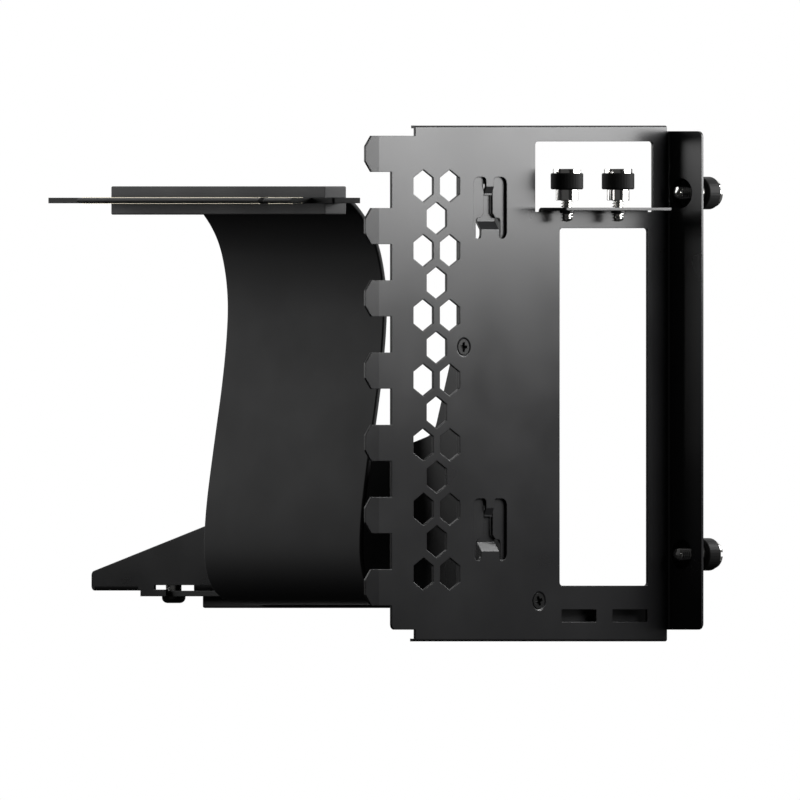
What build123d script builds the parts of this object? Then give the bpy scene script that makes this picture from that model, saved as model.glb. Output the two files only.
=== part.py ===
from build123d import *
import math
import os

os.makedirs("parts", exist_ok=True)

# Vertical graphics card bracket: a seven slot rear plate with a screw flange, a folded
# riser bracket hooked and screwed behind it, a x16 slot board under the riser's shelf, and
# a flat cable to the edge plug that enters the mainboard. All sizes are in millimetres.
#
# The sizes below are taken from the rear plate: X runs from its tabbed edge to the screw
# flange, Y from its outer face into the case, Z up from its bottom edge. Every piece is
# moved at the end so that the origin lies on the flange's seat, midway between its holes.

# Sheet metal
SHEET = 0.8
BEND_INNER = 0.5
BEND_OUTER = SHEET + BEND_INNER
FIT = 0.05                      # running clearance round a screw
SEAT = 0.05                     # clearance under a screw's collar

# Rear plate: seven expansion slots high; its width is the sum of what it carries, from the
# vents at its tabbed edge to the riser, the card's plane and the flange
SLOT_COUNT = 7
SLOT_PITCH = 20.32
PLATE_MARGIN = 2.86             # height beyond the slots that it closes
VENT_FIELD_W = 27.2             # from the tabbed edge to the riser bracket
RISER_TO_HOOK = 11.85
HOOK_TO_WALL = 10.95
WALL_TO_CARD = 15.5
CARD_TO_FLANGE = 44.6
EDGE_STRIP_W = 9.4
EDGE_STRIP_LOW = 3.3
EDGE_STRIP_DROP = 2.9           # each drop is measured down from the plate's top
STRIP_CORNER_R = 1.5
LIP_DEPTH_TOP = 1.8
LIP_DEPTH_LOW = 2.2
LIP_BEND_R = 0.75
LIP_END_GAP = 0.7

PLATE_H = SLOT_COUNT * SLOT_PITCH + PLATE_MARGIN
RISER_LEFT = VENT_FIELD_W
HOOK_X = RISER_LEFT + RISER_TO_HOOK
WALL_X = HOOK_X + HOOK_TO_WALL
CARD_X = WALL_X + WALL_TO_CARD  # middle plane of the graphics card's board
PLATE_W = CARD_X + CARD_TO_FLANGE

# Card tabs along the plate's free edge
TAB_LOWEST_Z = 15.2
TAB_W = 10.2
TAB_FLAT = 5.1
TAB_TIP = 4.8
TAB_TIP_W = 4.2
TAB_TAPER = 2.15
TAB_ANGLE = 7.0

# Screw flange
FLANGE_DEPTH = 13.0
FLANGE_LOW = 3.3
FLANGE_DROP = 1.6
FLANGE_CORNER_R = 1.8
FLANGE_HOLE_R = 4.15
FLANGE_HOLE_Y = -5.0
FLANGE_HOLE_LOW = 24.5
FLANGE_HOLE_SLOTS = 5           # slot pitches between the two holes

# Windows for a two slot card
WINDOW_W = 35.1
WINDOW_EDGE = 8.3               # sheet left beside the flange
WINDOW_LOW = 15.7
WINDOW_BAR = 4.6                # sheet left between the two windows
HEAD_WINDOW_W = 46.9
HEAD_WINDOW_EDGE = 6.2
HEAD_WINDOW_H = 19.8
HEAD_WINDOW_DROP = 4.5
WINDOW_R = 1.0

# Ledge that the card's screw flange rests on
LEDGE_RELIEF = 2.1              # gap beside the ledge, cut so that it could be bent
LEDGE_DEPTH = 9.9
LEDGE_RISE = 1.2                # above the head window's lower edge
LEDGE_SCREW_Y = -4.1

# Slots and channel for the card's lower tabs
CARD_TO_SLOT = 1.9
CARD_SLOT_W = 13.9
CARD_SLOT_Z = (5.5, 9.0)
CHANNEL_MARGIN = 3.0
CHANNEL_GAP = 2.4
CHANNEL_H = 10.5

# Hexagonal vents
VENT_FLATS = 8.0
VENT_X = (12.6, 23.1)
VENT_LOW = 19.02
VENT_DROP = 17.0
VENT_ROWS = 7

# Hooks that hold the riser bracket
HOOK_LOW = 22.8                 # lower edge of the lower opening
HOOK_DROP = 31.9                # from the plate's top to that edge of the upper one
HOOK_W = 13.3
HOOK_H = 17.4
HOOK_R = 2.0
HOOK_ROOT_W = 7.05
HOOK_NECK_W = 3.2
HOOK_FLAT = 2.6
HOOK_RISE = 2.4
HOOK_SHOULDER = 5.6
HOOK_TAPER = 1.7
HOOK_TIP = 12.4
HOOK_GRIP = 0.1                 # slack between the hook and the sheet that it holds
LOCK_W = 3.05
LOCK_FLAT = 2.7
LOCK_SLOPE = 1.9
LOCK_RISE = 0.85
LOCK_LEN = 5.1
HOOK_SLOT_R = 1.1               # rounding where the opening meets its tongues

# Keyholes of the riser bracket, which take the hooks; heights above the openings' lower edges
KEYHOLE_W = 9.8
KEYHOLE_NECK_W = 3.6
KEYHOLE_LOW = -1.5
KEYHOLE_SHOULDER = 5.9
KEYHOLE_TAPER = (1.2, 1.3)
KEYHOLE_TOP = 15.4
KEYHOLE_R = 1.0

# Countersunk screws that fix the riser bracket
CSK_EDGE = 1.4                  # from the riser's free edge to the upper screw
CSK_EAR_R = 3.1                 # ear of the riser round that screw
CSK_UPPER_Z = 82.8
CSK_WALL = 8.5                  # from the riser's wall to the lower screw
CSK_LOWER_Z = 11.4
CSK_HEAD_R = 2.7
CSK_R = 1.5
CSK_LEN = 2.9
CSK_COLLAR_R = 2.2
CSK_COLLAR_H = 1.1
CROSS_W = 0.6
CROSS_LEN = 2.6
CROSS_DEEP = 0.7

# Riser bracket
RISER_LOW = 3.2
RISER_DROP = 2.6
WALL_LOW = 14.3
WALL_END_Y = 169.5
WALL_END_Z = 19.6
WALL_KNEE = (33.3, 58.35)
WALL_TOP_Y = 6.2
WALL_CORNER_R = 1.3
WALL_NOTCH_Y = (112.0, 144.6)
WALL_NOTCH_H = 1.53
WALL_LIP_Y = 151.0
WALL_LIP_W = 4.0
WALL_KNEE_R = 6.0
GUARD_REACH = (4.7, 5.45)       # before and past the notch's far end
GUARD_LOW = 12.68
FOOT_GAP = 2.6                  # from the wall to the foot's neck
FOOT_W = 11.9
SHELF_LOW = 15.85
SHELF_START_Y = 22.5
SHELF_MARGIN = (3.0, 5.0)       # beyond the slot board
SHELF_CORNER_R = 3.0
SHELF_SLOT_GAP = 1.2

# Slot board and what is on it
BOARD_T = 1.6
BOARD_TOP = 14.28
BOARD_REACH = (13.9, 19.5)      # to each side of the card's plane
BOARD_Y = (38.0, 147.0)
BOARD_SCREW_INSET_X = (3.6, 4.0)
BOARD_SCREW_INSET_Y = (4.6, 5.0)
BOARD_SCREW_R = 1.45
BOARD_HEAD_R = 3.1
BOARD_HEAD_H = 1.9
STANDOFF_R = 2.25
STANDOFF_RISE = 0.7             # how far a standoff stands above the shelf

EDGE_Y = (47.0, 132.0)          # gold edge of a x16 card
EDGE_KEY = 11.65
EDGE_KEY_W = 1.9
EDGE_PITCH = 1.0

HOUSING_W = 7.5
HOUSING_H = 11.25
HOUSING_END = 2.0
GROOVE_HALF = 1.1
GROOVE_DEPTH = 7.9
CONTACT_T = 0.3
CONTACT_W = 0.6
CONTACT_H = 6.4
EAR_LEN = 6.5
EAR_T = 1.3
EAR_H = 7.0
LATCH_GAP = 0.35
LATCH_PIN_R = 0.8
LATCH_PIVOT_H = 4.2
LATCH_H = 13.2
LATCH_T = 2.2
LATCH_NOSE = 2.0

COVER_W = 17.4
COVER_LOW = 9.4
COVER_R = 0.5

# Flat cable: middle line in X and Z, from the plug to the slot board's cover
CABLE_Y = (47.0, 109.4)
CABLE_SEAT = 2.7
CABLE_EXIT = 1.9                # straight run out of the plug's cover
CABLE_ENTRY = 6.8               # straight run into the slot board's cover
CABLE_BEND_SHARE = 0.4
CABLE_PATH = (
    (34.4, 120.9), (38.5, 116.4), (41.4, 111.4), (43.1, 106.0), (44.2, 100.3),
    (44.65, 94.0), (44.25, 87.0), (43.35, 79.0), (41.8, 69.3), (39.85, 59.4),
    (37.9, 49.1), (36.35, 40.5), (35.4, 32.8), (35.1, 25.7), (35.7, 20.6),
    (37.3, 16.6), (40.4, 13.4), (44.8, 11.6),
)
CABLE_LOW = 11.06

# Edge plug
PLUG_Z = 124.0
PLUG_BOARD_T = 1.57
CABLE_T = PLUG_BOARD_T          # the covers close on the board and the cable alike
PLUG_EDGE_X = 6.4
PLUG_TONGUE = 8.6
PLUG_BOARD_Y = (38.3, 152.0)
PLUG_COVER_X = (20.4, 28.7)
PLUG_COVER_H = 8.0
PLUG_BEVEL = 1.3
PLUG_BEVEL_DROP = 0.5
PAD_T = 0.1
PAD_W = 0.7
PAD_LEN = 4.2
PAD_GAP = 1.5                   # from the bevelled edge to the pads
COVER_EDGE_R = 0.35

# Thumbscrews
THREAD_R = 1.75
THREAD_LEN = 6.0
COLLAR_R = 3.2
COLLAR_LEN = 3.1
GRIP_R = 4.6
GRIP_LEN = 4.6
GRIP_CHAMFER = 0.45
CORE_R = 2.9
CAP_R = 4.05
CAP_LEN = 1.2
CAP_CHAMFER = 0.25
DRIVER_SLOT_W = 1.2
DRIVER_SLOT_DEEP = 1.0
LEDGE_SCREW_RISE = 2.02         # collar above the ledge, room for the card's bracket
CASE_SCREW_OUT = 2.9            # collar beyond the flange's outer face
CASE_SCREW_TURNS = (90, 72)     # how far each has been turned, seen by its driver slot
RETAINER_R = 5.0
RETAINER_WALL = 0.85

# Values that follow
EDGE_STRIP_TOP = PLATE_H - EDGE_STRIP_DROP
FLANGE_TOP = PLATE_H - FLANGE_DROP
FLANGE_HOLE_PITCH = FLANGE_HOLE_SLOTS * SLOT_PITCH
FLANGE_HOLE_MID = FLANGE_HOLE_LOW + FLANGE_HOLE_PITCH / 2
HEAD_WINDOW_TOP = PLATE_H - HEAD_WINDOW_DROP
HEAD_WINDOW_Z = (HEAD_WINDOW_TOP - HEAD_WINDOW_H, HEAD_WINDOW_TOP)
HEAD_WINDOW_X = (PLATE_W - HEAD_WINDOW_EDGE - HEAD_WINDOW_W, PLATE_W - HEAD_WINDOW_EDGE)
WINDOW_X = (PLATE_W - WINDOW_EDGE - WINDOW_W, PLATE_W - WINDOW_EDGE)
WINDOW_Z = (WINDOW_LOW, HEAD_WINDOW_Z[0] - WINDOW_BAR)
LEDGE_X = (HEAD_WINDOW_X[0] + LEDGE_RELIEF, HEAD_WINDOW_X[1] - LEDGE_RELIEF)
LEDGE_TOP = HEAD_WINDOW_Z[0] + LEDGE_RISE
CARD_SLOT_X = CARD_X + CARD_TO_SLOT
VENT_ROW_PITCH = (PLATE_H - VENT_DROP - VENT_LOW) / (VENT_ROWS - 1)
HOOK_LOW_Z = (HOOK_LOW, PLATE_H - HOOK_DROP)
CSK_POS = ((RISER_LEFT + CSK_EDGE, CSK_UPPER_Z), (WALL_X + CSK_WALL, CSK_LOWER_Z))
RISER_TOP = PLATE_H - RISER_DROP
GUARD_Y = (WALL_NOTCH_Y[1] - GUARD_REACH[0], WALL_NOTCH_Y[1] + GUARD_REACH[1])
FOOT_LEFT = WALL_X + FOOT_GAP
FOOT_RIGHT = FOOT_LEFT + FOOT_W
BOARD_X = (CARD_X - BOARD_REACH[0], CARD_X + BOARD_REACH[1])
BOARD_SCREW_X = (BOARD_X[0] + BOARD_SCREW_INSET_X[0], BOARD_X[1] - BOARD_SCREW_INSET_X[1])
BOARD_SCREW_Y = (BOARD_Y[0] + BOARD_SCREW_INSET_Y[0], BOARD_Y[1] - BOARD_SCREW_INSET_Y[1])
SHELF_RIGHT = BOARD_X[1] + SHELF_MARGIN[0]
SHELF_END_Y = BOARD_Y[1] + SHELF_MARGIN[1]
COVER_X = (CARD_X - COVER_W / 2, CARD_X + COVER_W / 2)
ORIGIN = Pos(-PLATE_W, -FLANGE_HOLE_Y, -FLANGE_HOLE_MID)
RISER_FACE = SHEET + SHEET      # inner face of the riser's front sheet
SHELF_TOP = SHELF_LOW + SHEET
BOARD_LOW = BOARD_TOP - BOARD_T
HOUSING_X = (CARD_X - HOUSING_W / 2, CARD_X + HOUSING_W / 2)
HOUSING_Y = (EDGE_Y[0] - HOUSING_END, EDGE_Y[1] + HOUSING_END)
HOUSING_TOP = BOARD_TOP + HOUSING_H
LATCH_Y = HOUSING_Y[1] + EAR_LEN / 2
LATCH_Z = BOARD_TOP + LATCH_PIVOT_H
KEY_Y = EDGE_Y[0] + EDGE_KEY
PLUG_BOARD_TOP = PLUG_Z + PLUG_BOARD_T / 2
PLUG_BOARD_LOW = PLUG_Z - PLUG_BOARD_T / 2
PLUG_BOARD_END = PLUG_COVER_X[1] - CABLE_SEAT
LEDGE_SCREWS = (CARD_X, CARD_X + SLOT_PITCH)
CASE_HOLES = (FLANGE_HOLE_LOW, FLANGE_HOLE_LOW + FLANGE_HOLE_PITCH)


# Building blocks

def block(x, y, z):
    """A box given by its two limits along each axis."""
    size = Box(x[1] - x[0], y[1] - y[0], z[1] - z[0], align=(Align.MIN,) * 3)
    return Pos(x[0], y[0], z[0]) * size


def rod_x(r, y, z, start, end):
    rod = Cylinder(r, end - start, align=(Align.CENTER, Align.CENTER, Align.MIN))
    return Pos(start, y, z) * Rot(0, 90, 0) * rod


def rod_y(r, x, z, start, end):
    rod = Cylinder(r, end - start, align=(Align.CENTER, Align.CENTER, Align.MIN))
    return Pos(x, start, z) * Rot(-90, 0, 0) * rod


def rod_z(r, x, y, start, end):
    rod = Cylinder(r, end - start, align=(Align.CENTER, Align.CENTER, Align.MIN))
    return Pos(x, y, start) * rod


def facing_plate(sketch, start, depth):
    """A sketch drawn in X and Z, made a sheet from Y = start inwards."""
    return Pos(0, start, 0) * extrude(Plane.XZ * sketch, amount=-depth)


def facing_side(points, x, corners=()):
    """An outline drawn in Y and Z, made a solid between two X limits."""
    face = make_face(Plane.YZ * Polyline(*points, close=True))
    for corner, radius in corners:
        at = min(face.vertices(), key=lambda v: math.dist((v.Y, v.Z), corner))
        face = fillet(at, radius)
    return Pos(x[0], 0, 0) * extrude(face, amount=x[1] - x[0], dir=(1, 0, 0))


def window(x, z, radius):
    middle = Pos((x[0] + x[1]) / 2, (z[0] + z[1]) / 2)
    return middle * RectangleRounded(x[1] - x[0], z[1] - z[0], radius)


def edge_at(part, axis, **place):
    """The edge parallel to an axis that runs through the given place."""
    def distance(edge):
        centre = edge.center()
        return math.hypot(*(getattr(centre, name) - value for name, value in place.items()))
    return min(part.edges().filter_by(axis), key=distance)


def edge_contacts_y():
    """The places of the contacts along a x16 edge, on both sides of its key."""
    place = EDGE_Y[0] + EDGE_PITCH / 2 + 0.3
    while place < EDGE_Y[1] - EDGE_PITCH / 2:
        if abs(place - KEY_Y) > (EDGE_KEY_W + CONTACT_W) / 2 + 0.1:
            yield place
        place += EDGE_PITCH


# Rear plate

def card_tab(z):
    """One tapered tab, bent a little into the case past its flat root."""
    half, tip = TAB_W / 2, TAB_TIP_W / 2
    root = block((-TAB_FLAT, EDGE_STRIP_W / 2), (0, SHEET), (z - half, z + half))
    outline = Polyline((0, half), (TAB_TAPER - TAB_TIP, half), (-TAB_TIP, tip),
                       (-TAB_TIP, -tip), (TAB_TAPER - TAB_TIP, -half), (0, -half), close=True)
    end = facing_plate(make_face(outline), 0, SHEET)
    return root + Pos(-TAB_FLAT, 0, z) * Rot(0, 0, -TAB_ANGLE) * end


def vents():
    shape = Rot(0, 0, 90) * RegularPolygon(VENT_FLATS / math.sqrt(3), 6)
    holes = Sketch()
    for row in range(VENT_ROWS):
        z = VENT_LOW + row * VENT_ROW_PITCH
        for x in VENT_X:
            holes += Pos(x, z) * shape
        if row < VENT_ROWS - 1:
            holes += Pos(sum(VENT_X) / 2, z + VENT_ROW_PITCH / 2) * shape
    return holes


def hook_opening(low):
    """Opening round a hook and its lock, which leaves the roots of both tongues."""
    half, root, lock, top = HOOK_W / 2, HOOK_ROOT_W / 2, LOCK_W / 2, low + HOOK_H
    opening = window((HOOK_X - half, HOOK_X + half), (low, top), HOOK_R)
    opening -= Pos(HOOK_X, low + HOOK_FLAT / 2) * Rectangle(2 * root, HOOK_FLAT)
    opening -= Pos(HOOK_X, top - LOCK_FLAT / 2) * Rectangle(2 * lock, LOCK_FLAT)
    corners = [v for v in opening.vertices() if min(abs(v.Y - low), abs(v.Y - top)) < 0.01
               and min(abs(abs(v.X - HOOK_X) - reach) for reach in (root, lock)) < 0.01]
    return fillet(corners, HOOK_SLOT_R)


def keyhole(low):
    """Outline of a riser's hole: wide below for the hook, narrow above for the lock."""
    wide, neck = KEYHOLE_W / 2, KEYHOLE_NECK_W / 2
    shoulder = low + KEYHOLE_SHOULDER
    side = ((wide, low + KEYHOLE_LOW), (wide, shoulder), (neck + KEYHOLE_TAPER[0], shoulder),
            (neck, shoulder + KEYHOLE_TAPER[1]), (neck, low + KEYHOLE_TOP))
    outline = [*side, *((-x, z) for x, z in reversed(side))]
    hole = Pos(HOOK_X, 0) * make_face(Polyline(*outline, close=True))
    corners = [v for v in hole.vertices() if abs(abs(v.X - HOOK_X) - wide) < 0.01]
    return fillet(corners, KEYHOLE_R)


def hook(low):
    """Tongue that steps inwards past the riser's sheet and points up behind it."""
    deep = SHEET + SHEET + HOOK_GRIP
    side = facing_side(
        ((0, low - 0.2), (SHEET, low - 0.2), (SHEET, low + HOOK_FLAT),
         (deep + SHEET, low + HOOK_FLAT + HOOK_RISE), (deep + SHEET, low + HOOK_TIP),
         (deep, low + HOOK_TIP), (deep, low + HOOK_FLAT + HOOK_RISE), (0, low + HOOK_FLAT)),
        (HOOK_X - HOOK_W / 2, HOOK_X + HOOK_W / 2))
    root, neck = HOOK_ROOT_W / 2, HOOK_NECK_W / 2
    front = Polyline((-root, low - 0.2), (-root, low + HOOK_SHOULDER),
                     (-neck, low + HOOK_SHOULDER + HOOK_TAPER), (-neck, low + HOOK_TIP),
                     (neck, low + HOOK_TIP), (neck, low + HOOK_SHOULDER + HOOK_TAPER),
                     (root, low + HOOK_SHOULDER), (root, low - 0.2), close=True)
    return side & facing_plate(Pos(HOOK_X, 0) * make_face(front), 0, deep + SHEET)


def lock_tongue(top):
    """Short tongue over the hook, stepped into the riser's sheet."""
    side = facing_side(
        ((0, top + 0.2), (SHEET, top + 0.2), (SHEET, top - LOCK_FLAT),
         (LOCK_RISE + SHEET, top - LOCK_FLAT - LOCK_SLOPE), (LOCK_RISE + SHEET, top - LOCK_LEN),
         (LOCK_RISE, top - LOCK_LEN), (LOCK_RISE, top - LOCK_FLAT - LOCK_SLOPE),
         (0, top - LOCK_FLAT)),
        (HOOK_X - LOCK_W / 2, HOOK_X + LOCK_W / 2))
    return side


def rear_plate():
    outline = window((EDGE_STRIP_W, PLATE_W + SHEET), (0, PLATE_H), 0.2)
    strip = window((0, EDGE_STRIP_W + 2), (EDGE_STRIP_LOW, EDGE_STRIP_TOP), STRIP_CORNER_R)
    sheet = facing_plate(outline + strip, 0, SHEET)
    sheet -= block((PLATE_W - LIP_END_GAP, PLATE_W + 2), (-1, 2), (FLANGE_TOP, PLATE_H + 1))
    sheet -= block((PLATE_W - LIP_END_GAP, PLATE_W + 2), (-1, 2), (-1, FLANGE_LOW))
    for tab in range(SLOT_COUNT):
        sheet += card_tab(TAB_LOWEST_Z + tab * SLOT_PITCH)

    lip_x = (EDGE_STRIP_W, PLATE_W - LIP_END_GAP)
    sheet += block(lip_x, (0, LIP_DEPTH_TOP), (PLATE_H - SHEET, PLATE_H))
    sheet += block(lip_x, (0, LIP_DEPTH_LOW), (0, SHEET))

    flange_x = (PLATE_W, PLATE_W + SHEET)
    flange = block(flange_x, (-FLANGE_DEPTH, SHEET), (FLANGE_LOW, FLANGE_TOP))
    free = [edge_at(flange, Axis.X, Y=-FLANGE_DEPTH, Z=z) for z in (FLANGE_LOW, FLANGE_TOP)]
    sheet += fillet(free, FLANGE_CORNER_R)

    # channel behind the two slots, where the card's lower tabs stand
    slots = [(x, x + CARD_SLOT_W) for x in (CARD_SLOT_X, CARD_SLOT_X + SLOT_PITCH)]
    channel_x = (slots[0][0] - CHANNEL_MARGIN + 1, slots[1][1] + CHANNEL_MARGIN)
    back = SHEET + CHANNEL_GAP
    sheet += block(channel_x, (0, back + SHEET), (0, SHEET))
    sheet += block(channel_x, (back, back + SHEET), (0, CHANNEL_H))

    cuts = window(WINDOW_X, WINDOW_Z, WINDOW_R) + window(HEAD_WINDOW_X, HEAD_WINDOW_Z, WINDOW_R)
    for x in ((HEAD_WINDOW_X[0], LEDGE_X[0]), (LEDGE_X[1], HEAD_WINDOW_X[1])):
        cuts += window(x, (HEAD_WINDOW_Z[0], HEAD_WINDOW_Z[0] + WINDOW_R), 0.2)
    for slot in slots:
        cuts += window(slot, CARD_SLOT_Z, 0.3)
    for low in HOOK_LOW_Z:
        cuts += hook_opening(low)
    sheet -= facing_plate(cuts + vents(), -1, SHEET + 1.2)

    # ledge, bent out of the head window's lower edge
    ledge_z = (LEDGE_TOP - SHEET, LEDGE_TOP)
    ledge = block(LEDGE_X, (-LEDGE_DEPTH, SHEET), ledge_z)
    front = [edge_at(ledge, Axis.Z, X=x, Y=-LEDGE_DEPTH) for x in LEDGE_X]
    ledge = fillet(front, 0.8)
    ledge += block(LEDGE_X, (0, SHEET), (HEAD_WINDOW_Z[0] - 0.5, LEDGE_TOP))
    ledge = fillet(edge_at(ledge, Axis.X, Y=SHEET, Z=LEDGE_TOP), BEND_OUTER - 0.2)
    sheet += ledge
    for low in HOOK_LOW_Z:
        sheet += hook(low) + lock_tongue(low + HOOK_H)

    # bends along both lips and the flange
    for z in (0, PLATE_H):
        sheet = fillet(edge_at(sheet, Axis.X, Y=0, Z=z), LIP_BEND_R)
    sheet = fillet(edge_at(sheet, Axis.Z, X=PLATE_W, Y=0, Z=FLANGE_HOLE_MID), BEND_INNER)
    sheet = fillet(edge_at(sheet, Axis.Z, X=PLATE_W + SHEET, Y=SHEET, Z=FLANGE_HOLE_MID),
                   BEND_OUTER - 0.1)

    for z in CASE_HOLES:
        sheet -= rod_x(FLANGE_HOLE_R, FLANGE_HOLE_Y, z, PLATE_W - 1, PLATE_W + SHEET + 1)
    for x in LEDGE_SCREWS:
        sheet -= rod_z(THREAD_R + FIT, x, LEDGE_SCREW_Y, LEDGE_TOP - SHEET - 1, LEDGE_TOP + 1)
    for x, z in CSK_POS:
        sheet -= countersink(x, z)
    return sheet


def countersink(x, z):
    """The cut for a flat head screw: a cone in the front sheet and its clear hole."""
    cone = Cone(CSK_R + FIT, CSK_HEAD_R + FIT, SHEET,
                align=(Align.CENTER, Align.CENTER, Align.MIN))
    seat = Pos(x, SHEET, z) * Rot(90, 0, 0) * cone
    return seat + rod_y(CSK_R + FIT, x, z, -1, SHEET + 1)


# Riser bracket

def riser_bracket():
    """Front sheet, long side wall and shelf, folded from one sheet."""
    y = (SHEET, RISER_FACE)
    front = window((RISER_LEFT, WALL_X + SHEET), (RISER_LOW, RISER_TOP), 1.5)
    front += Pos(*CSK_POS[0]) * Circle(CSK_EAR_R)
    foot = window((RISER_LEFT, FOOT_RIGHT), (RISER_LOW, SHELF_LOW - SHEET), 1.5)
    sheet = facing_plate(front + foot, SHEET, SHEET)
    for low in HOOK_LOW_Z:
        sheet -= facing_plate(keyhole(low), SHEET - 1, SHEET + 2)

    # side wall, high at the fold and falling to a low end
    knee_y, knee_z = WALL_KNEE
    outline = ((SHEET, WALL_LOW), (WALL_END_Y, WALL_LOW), (WALL_END_Y, WALL_END_Z),
               (knee_y, knee_z), (WALL_TOP_Y, RISER_TOP), (SHEET, RISER_TOP))
    corners = (((WALL_END_Y, WALL_LOW), WALL_CORNER_R), ((WALL_END_Y, WALL_END_Z), WALL_CORNER_R),
               ((knee_y, knee_z), WALL_KNEE_R))
    wall = facing_side(outline, (WALL_X, WALL_X + SHEET), corners)
    sheet += wall
    sheet = fillet(edge_at(sheet, Axis.Z, X=WALL_X + SHEET, Y=SHEET, Z=(SHELF_TOP + RISER_TOP) / 2),
                   SHEET - 0.1)

    # lip under the wall's free end, and the guard beside the slot board
    lip = block((WALL_X, WALL_X + WALL_LIP_W), (WALL_LIP_Y, WALL_END_Y - WALL_CORNER_R),
                (WALL_LOW, WALL_LOW + SHEET))
    lip_wall = block((WALL_X, WALL_X + SHEET), (WALL_LIP_Y, WALL_END_Y - WALL_CORNER_R),
                     (WALL_LOW, WALL_LOW + 2 * SHEET))
    lip = fillet(edge_at(lip + lip_wall, Axis.Y, X=WALL_X, Z=WALL_LOW), BEND_OUTER - 0.1)
    sheet -= block((WALL_X - 1, WALL_X + SHEET + 1),
                   (WALL_LIP_Y, WALL_END_Y - WALL_CORNER_R), (WALL_LOW - 1, WALL_LOW + 2 * SHEET))
    sheet += lip
    notch = block((WALL_X - 1, WALL_X + SHEET + 1), WALL_NOTCH_Y,
                  (WALL_LOW - 1, WALL_LOW + WALL_NOTCH_H))
    sheet -= notch
    guard_top = WALL_LOW + 0.3
    guard = facing_side(((GUARD_Y[0], GUARD_LOW), (GUARD_Y[1], GUARD_LOW),
                         (GUARD_Y[1], guard_top), (GUARD_Y[0], guard_top)),
                        (WALL_X, WALL_X + SHEET))
    sheet += guard

    # shelf over the slot board, folded back from the foot
    shelf = window((WALL_X + SHEET, SHELF_RIGHT), (SHELF_START_Y, SHELF_END_Y), SHELF_CORNER_R)
    neck_end = SHELF_START_Y + SHELF_CORNER_R + 1
    neck = Pos((FOOT_LEFT + FOOT_RIGHT) / 2, (SHEET + neck_end) / 2) * Rectangle(
        FOOT_RIGHT - FOOT_LEFT, neck_end - SHEET)
    gap = SHELF_SLOT_GAP
    slot = window((HOUSING_X[0] - gap, HOUSING_X[1] + gap),
                  (HOUSING_Y[0] - gap, HOUSING_Y[1] + EAR_LEN + 3 * gap), 1.5)
    shelf_sheet = Pos(0, 0, SHELF_LOW) * extrude(shelf + neck - slot, amount=SHEET)
    upstand = block((FOOT_LEFT, FOOT_RIGHT), y, (SHELF_LOW - 2 * SHEET, SHELF_TOP))
    shelf_sheet = fillet(edge_at(shelf_sheet + upstand, Axis.X, Y=SHEET, Z=SHELF_TOP),
                         BEND_OUTER - 0.1)
    sheet += shelf_sheet
    for x in BOARD_SCREW_X:
        for hole_y in BOARD_SCREW_Y:
            sheet -= rod_z(STANDOFF_R, x, hole_y, SHELF_LOW - 1, SHELF_TOP + 1)

    for x, z in CSK_POS:
        sheet += rod_y(CSK_COLLAR_R, x, z, RISER_FACE - 0.1, RISER_FACE + CSK_COLLAR_H)
        sheet -= rod_y(CSK_R, x, z, 0, RISER_FACE + CSK_COLLAR_H + 1)
    return sheet


# Screws

def countersunk_screw(x, z):
    head = Cone(CSK_R, CSK_HEAD_R, SHEET, align=(Align.CENTER, Align.CENTER, Align.MIN))
    screw = Rot(90, 0, 0) * head + rod_y(CSK_R, 0, 0, 0, CSK_LEN - SHEET)
    for size in ((CROSS_LEN, CROSS_W), (CROSS_W, CROSS_LEN)):
        screw -= Pos(0, -SHEET, 0) * Box(size[0], 2 * CROSS_DEEP, size[1])
    return Pos(x, SHEET, z) * screw


def thumbscrew():
    """Thumbscrew on +Z, with its thread's tip at the origin: the metal and its grip."""
    collar = THREAD_LEN
    grip = collar + COLLAR_LEN
    cap = grip + GRIP_LEN
    top = cap + CAP_LEN
    half = make_face(Plane.XZ * Polyline(
        (0, 0), (THREAD_R - 0.4, 0), (THREAD_R, 0.4), (THREAD_R, collar), (COLLAR_R, collar),
        (COLLAR_R, grip), (CORE_R, grip), (CORE_R, cap), (CAP_R, cap),
        (CAP_R, top - CAP_CHAMFER), (CAP_R - CAP_CHAMFER, top), (0, top), close=True))
    metal = revolve(half, Axis.Z)
    metal -= Pos(0, 0, top) * Box(2 * GRIP_R, DRIVER_SLOT_W, 2 * DRIVER_SLOT_DEEP)
    sleeve = rod_z(GRIP_R, 0, 0, grip, cap)
    sleeve = chamfer(sleeve.edges().filter_by(GeomType.CIRCLE), GRIP_CHAMFER)
    sleeve -= rod_z(CORE_R, 0, 0, grip - 1, cap + 1)
    return metal, sleeve


def captive_retainer():
    """Cup on +Z that keeps a case screw at the flange, with its mouth at the origin."""
    length = CASE_SCREW_OUT - SEAT
    cup = rod_z(RETAINER_R, 0, 0, 0, length)
    cup -= rod_z(FLANGE_HOLE_R, 0, 0, -1, length - RETAINER_WALL)
    cup -= rod_z(THREAD_R + FIT, 0, 0, -1, length + 1)
    return cup


# Slot board

def slot_board():
    board = block(BOARD_X, BOARD_Y, (BOARD_LOW, BOARD_TOP))
    board = fillet(board.edges().filter_by(Axis.Z), 1.0)
    for x in BOARD_SCREW_X:
        for y in BOARD_SCREW_Y:
            board -= rod_z(BOARD_SCREW_R + FIT, x, y, BOARD_LOW - 1, BOARD_TOP + 1)
    return board


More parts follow.
